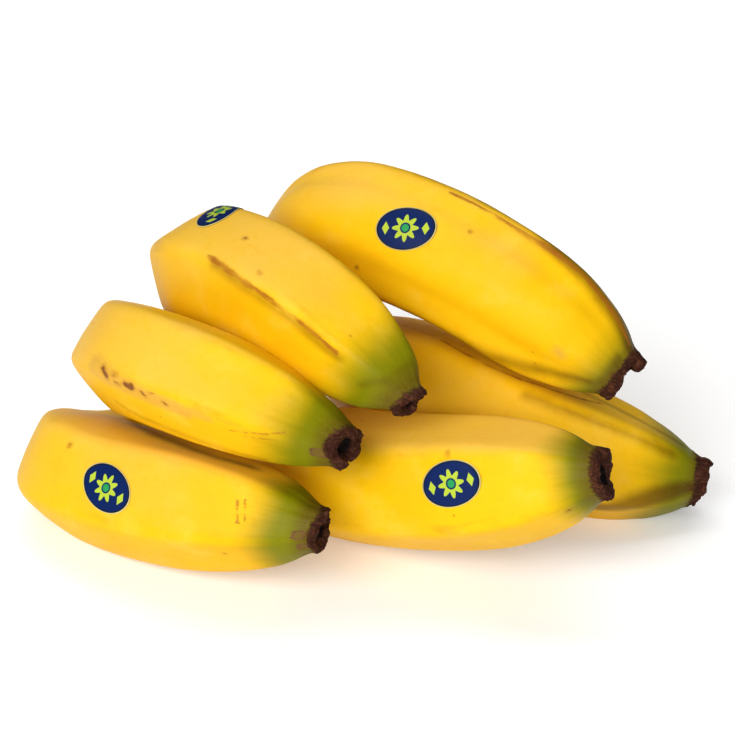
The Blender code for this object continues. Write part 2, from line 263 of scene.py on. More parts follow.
# The lamps: their settings' names, places, what they face, sizes in metres and spreads in degrees.
Lamp = namedtuple("Lamp", "name place target size spread")
LAMPS = (
    Lamp("key", (-0.70, -1.25, 0.85), CAMERA_TARGET, 0.9, 180),
    Lamp("front", (0.05, -1.45, 0.68), CAMERA_TARGET, 0.8, 180),
    Lamp("top", (-0.30, -0.10, 1.50), CAMERA_TARGET, 1.4, 180),
    Lamp("back", (0.0, 1.00, 1.30), (0.0, 1.10, 0.0), 1.8, 110),
)
FLOOR_HALF = 4.0


def length_setting(name, description, size):
    """A length for the panel."""
    return FloatProperty(name=name, description=description, default=size, unit="LENGTH")


def power_setting(name, description, watts):
    """The power of a lamp for the panel."""
    return FloatProperty(name=name, description=description, default=watts, unit="POWER")


def colour_setting(name, description, *colour):
    """A colour for the panel, from its red, green and blue."""
    return FloatVectorProperty(
        name=name, description=description, default=(*colour, 1.0), size=4, subtype="COLOR", min=0, max=1
    )


class HandSettings(bpy.types.PropertyGroup):
    """Sizes and colours of the fruit."""

    fruit_radius: length_setting("Fruit Radius", "Radius of a middling finger at its thickest", 19.5 * MM)
    rings: IntProperty(name="Rings", description="Sections along a finger", default=300, min=60)
    around: IntProperty(name="Points Around", description="Points of a section", default=120, min=25)
    undulation: length_setting("Undulation", "Height of the slow swells of the peel", 0.45 * MM)
    crease: length_setting("Crease Depth", "Depth of the lengthwise creases of stalk and neck", 0.22 * MM)
    lip: length_setting("Scar Lip", "How far the dry blossom end stands out", 1.5 * MM)
    lump: length_setting("Scar Lumps", "Size of the knobs of the dry blossom end", 4.0 * MM)
    voxel: length_setting("Crown Grid", "Cell size of the crown's skin", 0.8 * MM)
    fibre_length: length_setting("Fibre Length", "Length of the frayed fibres on the crown's cut", 1.1 * MM)
    # Painted sheen: the paler colour of the peel on its side turned to the light above and to the left.
    bloom: colour_setting("Painted Sheen", "Colour of the peel under its dull wax bloom", 0.75, 0.44, 0.066)
    pale: colour_setting("Pale", "Colour of the palest blotches of ripe peel", 0.80, 0.50, 0.055)
    ripe: colour_setting("Ripe Yellow", "Main colour of the peel", 0.76, 0.435, 0.003)
    deep: colour_setting("Deep Yellow", "Colour of the peel's warmer clouds and streaks", 0.71, 0.355, 0.002)
    unripe: colour_setting("Unripe Green", "Colour of the peel towards the blossom end", 0.17, 0.165, 0.001)
    neck: colour_setting("Neck Green", "Colour of the peel beside the scar", 0.10, 0.065, 0.004)
    stalk: colour_setting("Stalk", "Colour of the stalks and of the crown's skin", 0.50, 0.40, 0.035)
    tan: colour_setting("Bruised Tan", "Colour of the pale bruises", 0.52, 0.27, 0.05)
    rub: colour_setting("Rubbed Brown", "Colour of scuffs and scratches", 0.33, 0.11, 0.008)
    cork: colour_setting("Cork", "Colour of the dry tan patches beside the scars", 0.24, 0.11, 0.045)
    crust: colour_setting("Scar Crust", "Colour of the raised parts of the blossom ends", 0.10, 0.036, 0.017)
    scar: colour_setting("Scar", "Colour of the dry blossom ends and spots", 0.032, 0.009, 0.005)
    hollow: colour_setting("Hollow", "Colour deep in a blossom end", 0.004, 0.002, 0.002)
    speck: colour_setting("Speck", "Colour of the paler grains of a spot", 0.16, 0.045, 0.006)
    # Painted shade: the colour that darkens the peel on faces turned from the light and between the fingers.
    painted_shade: colour_setting("Shaded Brown", "Colour of the soft dark bands", 0.055, 0.008, 0.0005)


class LabelSettings(bpy.types.PropertyGroup):
    """Size and colours of the paper ovals."""

    length: length_setting("Length", "Long size of the oval", 19.2 * MM)
    width: length_setting("Width", "Short size of the oval", 13.4 * MM)
    paper: length_setting("Paper", "Thickness of the paper", 0.12 * MM)
    lift: length_setting("Lift", "How far one end has come away", 0.35 * MM)
    ground: colour_setting("Ground", "Colour of the oval", 0.0004, 0.010, 0.072)
    faded: colour_setting("Faded Ground", "Colour of the oval where it is rubbed", 0.001, 0.02, 0.12)
    border: colour_setting("Border", "Colour of the band within the rim", 0.002, 0.005, 0.006)
    rim: colour_setting("Rim", "Colour of the thin line round the oval", 0.52, 0.46, 0.2)
    petals: colour_setting("Petals", "Colour of the rosette's petals and of the lozenges", 0.38, 0.48, 0.035)
    heart: colour_setting("Heart", "Colour of the rosette's middle", 0.02, 0.26, 0.07)


class StageSettings(bpy.types.PropertyGroup):
    """Floor and light."""

    floor: colour_setting("Floor", "Colour of the floor", 0.9, 0.9, 0.9)
    fleck: colour_setting("Fleck", "Colour of the floor's faint grain", 0.8, 0.8, 0.79)
    glow: FloatProperty(name="Glow", description="Light that comes through the floor", default=0.21, min=0.0)
    key: power_setting("Key Light", "Power of the main light", 23.0)
    front: power_setting("Front Light", "Power of the light by the camera", 12.0)
    top: power_setting("Top Light", "Power of the light above", 1.5)
    back: power_setting("Back Light", "Power of the light on the floor behind", 13.0)
    sky: FloatProperty(name="Sky", description="Light from all round", default=0.03, subtype="FACTOR")


def arithmetic(operation, swapped=False):
    """A method that works out the operation on a wire and a term, or the other way round."""

    def method(self, term):
        return self.bench.maths(operation, *((term, self) if swapped else (self, term)))

    return method


class Wire:
    """A socket of a node tree. Python arithmetic on it adds the nodes that work the result out."""

    def __init__(self, bench, socket):
        self.bench = bench
        self.socket = socket

    def other(self, name):
        """Another output of the same node."""
        return Wire(self.bench, self.socket.node.outputs[name])

    __add__ = arithmetic("ADD")
    __radd__ = arithmetic("ADD", True)
    __sub__ = arithmetic("SUBTRACT")
    __rsub__ = arithmetic("SUBTRACT", True)
    __mul__ = arithmetic("MULTIPLY")
    __rmul__ = arithmetic("MULTIPLY", True)
    __truediv__ = arithmetic("DIVIDE")
    __pow__ = arithmetic("POWER")


def is_vector(term):
    """True for a vector socket and for three numbers."""
    return term.socket.type == "VECTOR" if isinstance(term, Wire) else isinstance(term, (tuple, Vector))


class Bench:
    """Builds one node tree, for a material or for Geometry Nodes."""

    def __init__(self, tree):
        self.tree = tree

    def node(self, kind, settings=None, sockets=None, out=0):
        """Adds a node: its settings first, then the values or links of its sockets. Gives one output."""
        made = self.tree.nodes.new(kind)
        for name, value in (settings or {}).items():
            setattr(made, name, value)
        for name, value in (sockets or {}).items():
            if isinstance(value, Wire):
                self.tree.links.new(value.socket, made.inputs[name])
            else:
                made.inputs[name].default_value = value
        return Wire(self, made.outputs[out]) if made.outputs else made

    def curve(self, points, value):
        """The height of a curve through the points."""
        made = self.node("ShaderNodeFloatCurve", sockets={"Value": value})
        mapping = made.socket.node.mapping
        line = mapping.curves[0].points
        line[0].location = points[0]
        line[1].location = points[-1]
        for point in points[1:-1]:
            line.new(*point)
        mapping.update()
        return made

    def maths(self, operation, *terms):
        """A Math node, or a Vector Math node where a term is a vector."""
        if not any(map(is_vector, terms)):
            return self.node("ShaderNodeMath", {"operation": operation}, dict(enumerate(terms)))
        if operation == "MULTIPLY" and not all(map(is_vector, terms)):
            amount, vector = sorted(terms, key=is_vector)
            return self.vectors("SCALE", {"Vector": vector, "Scale": amount})
        return self.vectors(operation, dict(enumerate(terms)))

    def vectors(self, operation, sockets, out=0):
        return self.node("ShaderNodeVectorMath", {"operation": operation}, sockets, out)

    def dot(self, a, b):
        return self.vectors("DOT_PRODUCT", {0: a, 1: b}, "Value")

    def cross(self, a, b):
        return self.vectors("CROSS_PRODUCT", {0: a, 1: b})

    def unit(self, vector):
        return self.vectors("NORMALIZE", {0: vector})

    def axes(self, vector):
        """The three parts of a vector."""
        parts = self.node("ShaderNodeSeparateXYZ", sockets={0: vector})
        return parts, parts.other("Y"), parts.other("Z")

    def join(self, x, y, z):
        return self.node("ShaderNodeCombineXYZ", sockets={0: x, 1: y, 2: z})

    def ramp(self, value, start, end):
        """Goes smoothly from 0 to 1 while the value goes from start to end."""
        sockets = {"Value": value, "From Min": start, "From Max": end}
        return self.node("ShaderNodeMapRange", {"interpolation_type": "SMOOTHSTEP"}, sockets)

    def blend(self, share, a, b):
        """Colour a, with b over it by the share."""
        return self.node("ShaderNodeMix", {"data_type": "RGBA"}, {0: share, 6: a, 7: b}, 2)

    def paint(self, colour, *layers):
        """The colour with layers over it in turn, each a share and a colour."""
        for share, tint in layers:
            colour = self.blend(share, colour, tint)
        return colour

    def noise(self, vector, scale, detail=2.0, roughness=0.5, out=0):
        sockets = {"Vector": vector, "Scale": scale, "Detail": detail, "Roughness": roughness}
        return self.node("ShaderNodeTexNoise", sockets=sockets, out=out)

    def cells(self, vector, scale):
        """Distance from the middles of scattered cells."""
        return self.node("ShaderNodeTexVoronoi", sockets={"Vector": vector, "Scale": scale}, out="Distance")

    def attribute(self, name, out="Fac"):
        return self.node("ShaderNodeAttribute", {"attribute_name": name}, out=out)

    def stored(self, name):
        """A number that keep has stored, in a Geometry Nodes tree."""
        return self.node("GeometryNodeInputNamedAttribute", {"data_type": "FLOAT"}, {"Name": name})

    def take(self, name, kind="Float"):
        """A named input of a Geometry Nodes group, as a wire."""
        self.tree.interface.new_socket(name, in_out="INPUT", socket_type="NodeSocket" + kind)
        group = next((n for n in self.tree.nodes if n.bl_idname == "NodeGroupInput"), None)
        group = group or self.tree.nodes.new("NodeGroupInput")
        return Wire(self, group.outputs[name])

    def keep(self, geometry, name, value):
        """Stores a value on the points."""
        kind = "FLOAT_VECTOR" if is_vector(value) else "FLOAT"
        sockets = {"Geometry": geometry, "Name": name, "Value": value}
        return self.node("GeometryNodeStoreNamedAttribute", {"data_type": kind, "domain": "POINT"}, sockets)

    def finish(self, geometry, material):
        """Realize Instances and Set Material, then the group's one output."""
        real = self.node("GeometryNodeRealizeInstances", sockets={"Geometry": geometry})
        dressed = self.node("GeometryNodeSetMaterial", sockets={"Geometry": real, "Material": material})
        self.tree.interface.new_socket("Geometry", in_out="OUTPUT", socket_type="NodeSocketGeometry")
        self.node("NodeGroupOutput", sockets={"Geometry": dressed})


def new_material(name):
    """A material with an empty tree, and its bench."""
    made = bpy.data.materials.new(name)
    made.use_nodes = True
    made.node_tree.nodes.clear()
    return made, Bench(made.node_tree)


def finish_surface(bench, colour, roughness, height, depth, fixed=None):
    """The Principled shader, with a bump whose height of 0 to 1 stands for a depth, and the output."""
    normal = bench.node("ShaderNodeBump", sockets={"Height": height, "Distance": depth})
    sockets = {"Base Color": colour, "Roughness": roughness, "Normal": normal, **(fixed or {})}
    shader = bench.node("ShaderNodeBsdfPrincipled", sockets=sockets)
    bench.node("ShaderNodeOutputMaterial", sockets={"Surface": shader})


def peel_material(look):
    """Peel, blossom end, wear, painted shade and a painted sheen on the lit side in one finish, which reads
    the skin's own attributes.
    """
    made, bench = new_material("banana_peel")
    ramp = bench.ramp
    blend = bench.blend
    grain = bench.attribute("grain", "Vector")
    share, edge, green, scar, pit = map(bench.attribute, ("share", "edge", "green", "scar", "pit"))
    near = {kind: bench.attribute(kind) for kind in MARK_KINDS}

    clouds = bench.noise(grain, 32.0, 3.0)
    blotches = bench.noise(grain, 75.0, 4.0, 0.6)
    mottle = bench.noise(grain, 420.0, 4.0, 0.6)
    streaks = bench.noise(grain * (620.0, 620.0, 16.0), 1.0, 3.0, 0.6)
    rough_edge = bench.noise(grain * (900.0, 900.0, 300.0), 1.0, 4.0, 0.65)
    rubs = bench.noise(grain * (160.0, 160.0, 60.0), 1.0, 4.0)
    frayed = bench.noise(grain, 900.0, 3.0, 0.6)
    cloudy = clouds - 0.5
    blotchy = blotches - 0.5
    streaky = streaks - 0.5
    ragged = rough_edge - 0.5

    def fade(rule):
        """How much of a mark shows."""
        distance = near[rule.kind]
        for shift, reach in ((cloudy, rule.clouds), (blotchy, rule.blotches), (ragged, rule.rough)):
            if reach:
                distance = distance + shift * reach
        return ramp(distance, rule.start, rule.end) * rule.strength

    # Painted sheen: the peel is paler where a point faces the light above and to the left.
    bloom = ramp(bench.attribute("bloom") + cloudy * 0.8, 0.45, 1.05)
    colour = bench.paint(
        look.ripe,
        (ramp(clouds, 0.38, 0.72) * 0.5, look.deep),
        (ramp(blotches, 0.48, 0.76) * 0.5, look.pale),
        (ramp(blotches, 0.44, 0.30) * 0.35, look.deep),
        (bloom * 0.75, look.bloom),
        (ramp(streaks, 0.5, 0.8) * 0.2, look.deep),
        (ramp(mottle, 0.52, 0.72) * 0.35, look.deep),
        (ramp(edge, 0.6, 1.0) * ramp(rubs, 0.52, 0.72) * 0.3, look.rub),
        (ramp(green + streaky * 0.1 + cloudy * 0.6, 0.1, 0.8), look.unripe),
        (ramp(share + cloudy * 0.03, 0.955, 0.99) * 0.85, look.neck),
        (ramp(share + streaky * 0.05, 0.26, 0.10), look.stalk),
    )

    patchy = ramp(bench.noise(grain, 140.0, 2.0), 0.3, 0.6)
    scuff = fade(SCUFF) * (0.6 + patchy * 0.4)
    scratch = fade(SCRATCH)
    spot = fade(SPOT)
    cork = fade(CORK) * (1.0 - fade(CORK_MIDDLE))
    freckles = bench.cells(grain, 150.0)
    chance = bench.node("ShaderNodeSeparateColor", sockets={0: freckles.other("Color")})
    freckle = ramp(freckles, 0.085, 0.03) * ramp(chance, 0.74, 0.9)
    pores = ramp(bench.cells(grain, 480.0), 0.16, 0.06) * ramp(green, 0.5, 0.9)
    dry = ramp(scar + (mottle - 0.5) * 0.8 + (frayed - 0.5) * 0.5, 0.25, 0.55)
    crusted = blend(ramp(mottle, 0.44, 0.66) * 0.75, look.scar, look.crust)
    colour = bench.paint(
        colour,
        # Painted shade: dark bands on faces turned from the light and where fingers meet.
        (fade(SHADE), look.painted_shade),
        (fade(BRUISE), look.tan),
        (pores * 0.35, look.tan),
        (scuff, look.rub),
        (scratch, look.rub),
        (freckle * 0.6, look.rub),
        (fade(HALO), look.rub),
        (spot * 0.9, blend(ramp(mottle, 0.5, 0.75), look.speck, look.scar)),
        (cork * 0.9, blend(mottle, look.scar, look.cork)),
        (dry, blend(ramp(pit, 0.3, 0.9), crusted, look.hollow)),
    )

    height = streaks * 0.3 + mottle * 0.25 + dry * mottle * 3.0 - scratch * 0.5 - spot * 0.4 + cork * 0.8
    roughness = 0.46 + cloudy * 0.12 + (mottle - 0.5) * 0.1 + scuff * 0.15 + cork * 0.3 + dry * 0.4
    finish_surface(bench, colour, roughness, height, 0.12 * MM, {"Specular IOR Level": 0.08})
    return made


def crown_material(look):
    """Green-brown woody skin, and the dark fibrous cut."""
    made, bench = new_material("crown_skin")
    ramp = bench.ramp
    place = bench.node("ShaderNodeTexCoord", out="Object")
    cut = bench.attribute("cut")
    behind = bench.attribute("behind")
    clouds = bench.noise(place, 90.0, 4.0, 0.6)
    mottle = bench.noise(place, 700.0, 4.0, 0.6)
    fibres = bench.noise(place * (900.0, 900.0, 120.0), 1.0, 3.0, 0.6)
    browned = ramp(behind / MM + (clouds - 0.5) * 22.0, 8.0, 24.0)
    strands = ramp(bench.cells(place, 620.0) + (mottle - 0.5) * 0.4, 0.25, 0.6)
    face = bench.paint(look.scar, (strands, look.cork), (ramp(clouds, 0.5, 0.75) * 0.8, look.scar))
    colour = bench.paint(
        look.stalk,
        (ramp(clouds, 0.35, 0.65), look.unripe),
        (browned * 0.85, look.cork),
        (ramp(mottle, 0.6, 0.75) * 0.35, look.scar),
        (ramp(cut + (mottle - 0.5) * 0.5, 0.3, 0.6), face),
    )
    height = mottle * 0.6 + fibres * 0.5 + strands * cut
    finish_surface(bench, colour, 0.62 + mottle * 0.25, height, 0.25 * MM)
    return made


def label_material(look):
    """Dark blue satin paper with a rosette between two lozenges, a nearly black border and a pale rim."""
    made, bench = new_material("label_paper")
    ramp = bench.ramp
    length = look.length / MM
    width = look.width / MM
    place = bench.node("ShaderNodeUVMap", {"uv_map": "label"}) - (0.5, 0.5, 0.0)
    across, up, _ = bench.axes(place * (length, length, 0.0))
    radius = (across * across + up * up) ** 0.5
    turn = bench.maths("ARCTAN2", up, across)
    petal = 3.3 + bench.maths("COSINE", turn * 8.0) * 0.9
    petals = ramp(petal - radius, -0.1, 0.1) * ramp(radius, 1.55, 1.75)
    sideways = bench.maths("ABSOLUTE", bench.maths("ABSOLUTE", across) - 6.3)
    lozenge = ramp(sideways / 1.2 + bench.maths("ABSOLUTE", up) / 2.0, 1.05, 0.92)
    oval = ((across / (length / 2)) ** 2.0 + (up / (width / 2)) ** 2.0) ** 0.5
    wear = bench.noise(place, 60.0, 4.0, 0.6)
    colour = bench.paint(
        look.ground,
        (ramp(wear, 0.35, 0.7) * 0.2, look.faded),
        (petals, look.petals),
        (lozenge, look.petals),
        (ramp(radius, 1.25, 1.05), look.heart),
        (ramp(oval, 0.895, 0.925), look.border),
        (ramp(oval, 0.955, 0.97), look.rim),
    )
    grain = bench.noise(place, 220.0, 3.0, 0.6)
    finish_surface(bench, colour, 0.36 + wear * 0.16, grain, 0.03 * MM, {"Specular IOR Level": 0.12})
    return made


def floor_material(look):
    """Matt white paper, lit a little from below."""
    made, bench = new_material("floor_paper")
    grain = bench.noise(bench.node("ShaderNodeTexCoord", out="Object"), 900.0, 3.0)
    colour = bench.blend(grain * 0.04, look.floor, look.fleck)
    lit = {"Emission Color": WHITE, "Emission Strength": look.glow}
    finish_surface(bench, colour, 0.85 + grain * 0.1, grain, 0.02 * MM, lit)
    return made


def crown_axes():
    """Unit vectors across the rows, out along the fingers, and along the crown."""
    across = CROWN_OUT.cross(CROWN_LONG_GUIDE).normalized()
    return across, CROWN_OUT, across.cross(CROWN_OUT)


def cushion_out():
    """The way that the crown's cut faces away from."""
    across = crown_axes()[0]
    return (CUSHION_OUT - across * CUSHION_OUT.dot(across)).normalized()


class Spine:
    """A finger's middle line by share of its length, with a steady side direction."""

    STEPS = 240

    def __init__(self, finger):
        across, out, along = crown_axes()
        seat = CROWN_CENTRE + across * (finger.row * ROW_GAP / 2) + along * (finger.place * SEAT_PITCH)
        seat -= out * (abs(finger.place) * SEAT_SWEEP)
        poles = [Vector(pole) * MM for pole in (finger.bend_in, finger.bend_out, finger.tip)]
        a, b, c, d = self.poles = [seat] + poles
        self.points = []
        for i in range(self.STEPS + 1):
            t = i / self.STEPS
            u = 1 - t
            self.points.append(a * u**3 + b * (3 * t * u**2) + c * (3 * t**2 * u) + d * t**3)
        self.run = [0.0]
        for p, q in zip(self.points, self.points[1:]):
            self.run.append(self.run[-1] + (q - p).length)
        self.length = self.run[-1]
        self.side = ((b - a).cross(d - a) + (c - a).cross(d - b)).normalized()

    def at(self, share):
        """Point, direction, side and lift there."""
        goal = share * self.length
        i = min(max(j for j, r in enumerate(self.run) if r <= goal), self.STEPS - 1)
        part = (goal - self.run[i]) / (self.run[i + 1] - self.run[i])
        point = self.points[i].lerp(self.points[i + 1], part)
        ahead = (self.points[min(i + 3, self.STEPS)] - self.points[max(i - 2, 0)]).normalized()
        side = (self.side - ahead * self.side.dot(ahead)).normalized()
        return point, ahead, side, ahead.cross(side)


def finger_tree():
    """Geometry Nodes for one finger's skin: a sheet rolled round the middle line, closed at both ends."""
    bench = Bench(bpy.data.node_groups.new("finger_skin", "GeometryNodeTree"))
    ramp = bench.ramp
    bench.take("Geometry", "Geometry")
    poles = [bench.take(name, "Vector") for name in ("Seat", "Bend In", "Bend Out", "Tip")]
    steady = bench.take("Side", "Vector")
    length, radius, neck, scar_scale = map(bench.take, ("Length", "Radius", "Neck Scale", "Scar Scale"))
    dry_from, turn, skew, shift = map(bench.take, ("Dry From", "Turn", "Skew", "Pattern Shift"))
    worn, worn_angle = map(bench.take, ("Worn Edge", "Worn Edge Angle"))
    undulation, crease, lip, lump = map(bench.take, ("Undulation", "Crease Depth", "Scar Lip", "Scar Lumps"))
    rings = bench.take("Rings", "Int")
    count = bench.take("Points Around", "Int")
    tilt = bench.take("Scar Tilt", "Vector")
    lobe_heights = bench.axes(bench.take("Lobe Heights", "Vector"))
    lobe_angles = bench.axes(bench.take("Lobe Angles", "Vector"))
    material = bench.take("Material", "Material")

    handles = dict(zip(("Start", "Start Handle", "End Handle", "End"), poles))
    handles["Resolution"] = 600
    rail = bench.node("GeometryNodeCurvePrimitiveBezierSegment", {"mode": "POSITION"}, handles)
    sheet_sizes = {"Size X": 1.0, "Size Y": 1.0, "Vertices X": rings, "Vertices Y": count}
    sheet = bench.node("GeometryNodeMeshGrid", sockets=sheet_sizes)
    x, y, _ = bench.axes(bench.node("GeometryNodeInputPosition"))
    along = x + 0.5
    walk = bench.maths("MINIMUM", along / BODY_PART, 1.0)
    share = 1.0 - (1.0 - walk) ** RING_CROWDING
    inward = bench.maths("MAXIMUM", (along - BODY_PART) / (1 - BODY_PART), 0.0)
    angle = (0.5 - y + 0.5 / SIDES) * math.tau
    around = angle + turn
    around = around + bench.maths("SINE", around + math.radians(SKEW_PHASE)) * skew
    cosine = bench.maths("COSINE", around)
    sine = bench.maths("SINE", around)
    grain = bench.join(cosine * radius, sine * radius, share * length + inward * HOLLOW_RUN + shift)

    faces = [bench.maths("COSINE", angle - k * math.tau / SIDES) for k in range(SIDES)]
    total = 0.0
    for face in faces:
        total = bench.maths("MAXIMUM", face, 0.0) ** EDGE_SHARPNESS + total
    edged = total ** (-1 / EDGE_SHARPNESS) / EDGE_LEVEL
    strength = bench.curve(EDGE_STRENGTH, share)
    strength = strength * (1.0 - worn * ramp(bench.maths("COSINE", around - worn_angle), 0.72, 0.95))
    own_end = 1.0 + (neck - 1.0) * ramp(share, *NECK_SHARES)
    own_end = own_end + (scar_scale - neck) * ramp(share, *SCAR_SHARES)
    section = radius * bench.curve(OUTLINE, share) * own_end * ((edged - 1.0) * strength + 1.0)

    ends = ramp(share, 0.24, 0.10) + ramp(share, 0.90, 0.985)
    creases = bench.noise(grain * (330.0, 330.0, 14.0), 1.0, 3.0, 0.55) - 0.5
    swells = bench.noise(grain * (60.0, 60.0, 34.0), 1.0, 1.0) - 0.5
    section = section + creases * ends * crease * 2.0 + swells * undulation * 2.0
    past = bench.maths("GREATER_THAN", inward, 0.0)
    section = section * ((bench.curve(LIP_RADIUS, inward) - 1.0) * past + 1.0)
    reach = (bench.curve(LIP_RISE, inward) - LIP_RISE[0][1]) * past * lip * 1.4
    reach = reach - ramp(share, 0.02, 0.0) * STALK_SINK
    tilt_side, tilt_lift, _ = bench.axes(tilt)
    reach = reach + (cosine * tilt_side + sine * tilt_lift) * section * ramp(share, 0.90, 1.0)
    on_lip = ramp(share, 0.985, 1.0) * ramp(inward, 0.75, 0.5)
    for waves, (height, phase) in enumerate(zip(lobe_heights, lobe_angles), 1):
        reach = reach + bench.maths("COSINE", (around - phase) * float(waves)) * height * on_lip

    on_rail = {"Curves": rail, "Factor": share}
    line = bench.node("GeometryNodeSampleCurve", {"mode": "FACTOR"}, on_rail, "Position")
    ahead = line.other("Tangent")
    side = bench.unit(steady - ahead * bench.dot(steady, ahead))
    lift = bench.cross(ahead, side)
    off_start = bench.maths("GREATER_THAN", along, 0.0001)
    place = line + ahead * reach + (side * cosine + lift * sine) * (section * off_start)

    scar = ramp(share - dry_from, -0.012, 0.01) * 0.6 + ramp(inward, 0.0, 0.15) * 0.4
    kept = bench.keep(sheet, "grain", grain)
    kept = bench.keep(kept, "share", share)
    kept = bench.keep(kept, "edge", ramp(edged, 1.025, 1.062) * strength)
    kept = bench.keep(kept, "scar", scar)
    kept = bench.keep(kept, "pit", ramp(inward, 0.55, 0.85))
    rolled = bench.node("GeometryNodeSetPosition", sockets={"Geometry": kept, "Position": place})

    here = bench.node("GeometryNodeInputPosition")
    knobs = bench.noise(here, 230.0, 1.0, 0.5, "Color") - (0.5, 0.5, 0.5)
    crumbs = bench.noise(here, 700.0, 2.0, 0.6, "Color") - (0.5, 0.5, 0.5)
    nudge = (knobs + crumbs * 0.3) * (lump * ramp(bench.stored("scar"), 0.15, 0.9))
    moved_x, moved_y, moved_z = bench.axes(here + nudge)
    landed = bench.join(moved_x, moved_y, bench.maths("MAXIMUM", moved_z, 0.0))
    crumpled_skin = bench.node("GeometryNodeSetPosition", sockets={"Geometry": rolled, "Position": landed})
    merge = {"Geometry": crumpled_skin, "Distance": 0.004 * MM}
    closed = bench.node("GeometryNodeMergeByDistance", sockets=merge)
    smooth = bench.node("GeometryNodeSetShadeSmooth", sockets={"Geometry": closed})
    bench.finish(smooth, material)
    return bench.tree


def crown_tree():
    """Geometry Nodes for the crown's relief and the frayed fibres of its cut."""
    bench = Bench(bpy.data.node_groups.new("crown_relief", "GeometryNodeTree"))
    geometry = bench.take("Geometry", "Geometry")
    cut_point = bench.take("Cut Point", "Vector")
    cut_way = bench.take("Cut Direction", "Vector")
    relief = bench.take("Relief")
    fibre = bench.take("Fibre Length")
    seed = bench.take("Seed", "Int")
    material = bench.take("Material", "Material")
    here = bench.node("GeometryNodeInputPosition")
    normal = bench.node("GeometryNodeInputNormal")
    depth = bench.dot(here - cut_point, cut_way)
    facing = bench.ramp(bench.dot(normal, cut_way), 0.55, 0.85)
    cut = bench.ramp(depth, -1.6 * MM, -0.5 * MM) * facing
    kept = bench.keep(geometry, "cut", cut)
    kept = bench.keep(kept, "behind", depth + CUT_SET_BACK)
    swell = (bench.noise(here, 110.0, 4.0, 0.55) - 0.5) * 2.0
    ribs = (bench.noise(here, 900.0, 2.0, 0.6) - 0.5) * 0.5
    offset = normal * ((swell + ribs) * relief * (1.0 - cut * 0.6) - relief * 0.5)
    moved = bench.node("GeometryNodeSetPosition", sockets={"Geometry": kept, "Offset": offset})
    x, y, z = bench.axes(bench.node("GeometryNodeInputPosition"))
    above = bench.join(x, y, bench.maths("MAXIMUM", z, 0.0))
    landed = bench.node("GeometryNodeSetPosition", sockets={"Geometry": moved, "Position": above})

    raised = bench.maths("GREATER_THAN", z, FIBRE_CLEARANCE)
    raised = raised * bench.maths("GREATER_THAN", bench.stored("cut"), 0.6)
    scatter = {"Mesh": landed, "Selection": raised, "Density": FIBRE_DENSITY, "Seed": seed}
    roots = bench.node("GeometryNodeDistributePointsOnFaces", sockets=scatter)
    fibre_shape = {
        "Vertices": 5,
        "Side Segments": 2,
        "Radius Top": 0.05 * MM,
        "Radius Bottom": 0.16 * MM,
        "Depth": fibre,
    }
    strand = bench.keep(bench.node("GeometryNodeMeshCone", sockets=fibre_shape), "cut", 1.0)
    leaning = {"Min": (-0.9, -0.9, 0.0), "Max": (0.9, 0.9, 6.2), "Seed": seed}
    lean = bench.node("FunctionNodeRandomValue", {"data_type": "FLOAT_VECTOR"}, leaning)
    turning = {"Rotation": roots.other("Rotation"), "Rotate By": lean}
    turned = bench.node("FunctionNodeRotateRotation", {"rotation_space": "LOCAL"}, turning)
    size = bench.node("FunctionNodeRandomValue", {"data_type": "FLOAT"}, {2: 0.35, 3: 1.0, "Seed": seed}, 1)
    scale = bench.join(size, size, size)
    planting = {"Points": roots, "Instance": strand, "Rotation": turned, "Scale": scale}
    planted = bench.node("GeometryNodeInstanceOnPoints", sockets=planting)
    both = bench.node("GeometryNodeJoinGeometry")
    for piece in (planted, landed):
        bench.tree.links.new(piece.socket, both.socket.node.inputs[0])
    bench.finish(bench.node("GeometryNodeSetShadeSmooth", sockets={"Geometry": both}), material)
    return bench.tree


def add_nodes(obj, tree, values):
    """A Geometry Nodes modifier with its inputs set by their identifiers."""
    grow = obj.modifiers.new(tree.name, "NODES")
    grow.node_group = tree
    names = {s.name: s.identifier for s in tree.interface.items_tree if s.in_out == "INPUT"}
    for name, value in values.items():
        grow[names[name]] = value


def settle(obj):
    """Turns what the modifiers make into the object's own plain mesh, with its place in the mesh."""
    graph = bpy.context.evaluated_depsgraph_get()
    made = obj.evaluated_get(graph)
    mesh = bpy.data.meshes.new_from_object(made, preserve_all_data_layers=True, depsgraph=graph)
    mesh.transform(obj.matrix_world)
    mesh.name = obj.name
    obj.modifiers.clear()
    obj.data = mesh
    obj.matrix_world = Matrix.Identity(4)
    return obj


def new_object(name, mesh):
    obj = bpy.data.objects.new(name, mesh)
    bpy.context.scene.collection.objects.link(obj)
    return obj


def to_mesh(bm, name):
    """Turns the working mesh into one for an object."""
    mesh = bpy.data.meshes.new(name)
    bm.to_mesh(mesh)
    bm.free()
    return mesh


def read_points(mesh, name, width):
    """A mesh attribute as an array, one row a point."""
    source = mesh.attributes[name]
    values = np.empty(len(mesh.vertices) * width, dtype=np.float32)
    source.data.foreach_get("vector" if width == 3 else "value", values)
    return values.reshape(-1, width) if width > 1 else values


def write_points(mesh, name, values):
    made = mesh.attributes.new(name, "FLOAT", "POINT")
    made.data.foreach_set("value", np.asarray(values, dtype=np.float32))


def distance_to_path(points, path):
    """Distance of each point from a line through the path's points."""
    nearest = np.full(len(points), np.inf)
    for a, b in zip(path, path[1:] + path[-1:]):
        along = b - a
        share = np.clip((points - a) @ along / max(along @ along, 1e-12), 0.0, 1.0)
        nearest = np.minimum(nearest, np.linalg.norm(points - a - share[:, None] * along, axis=1))
    return nearest


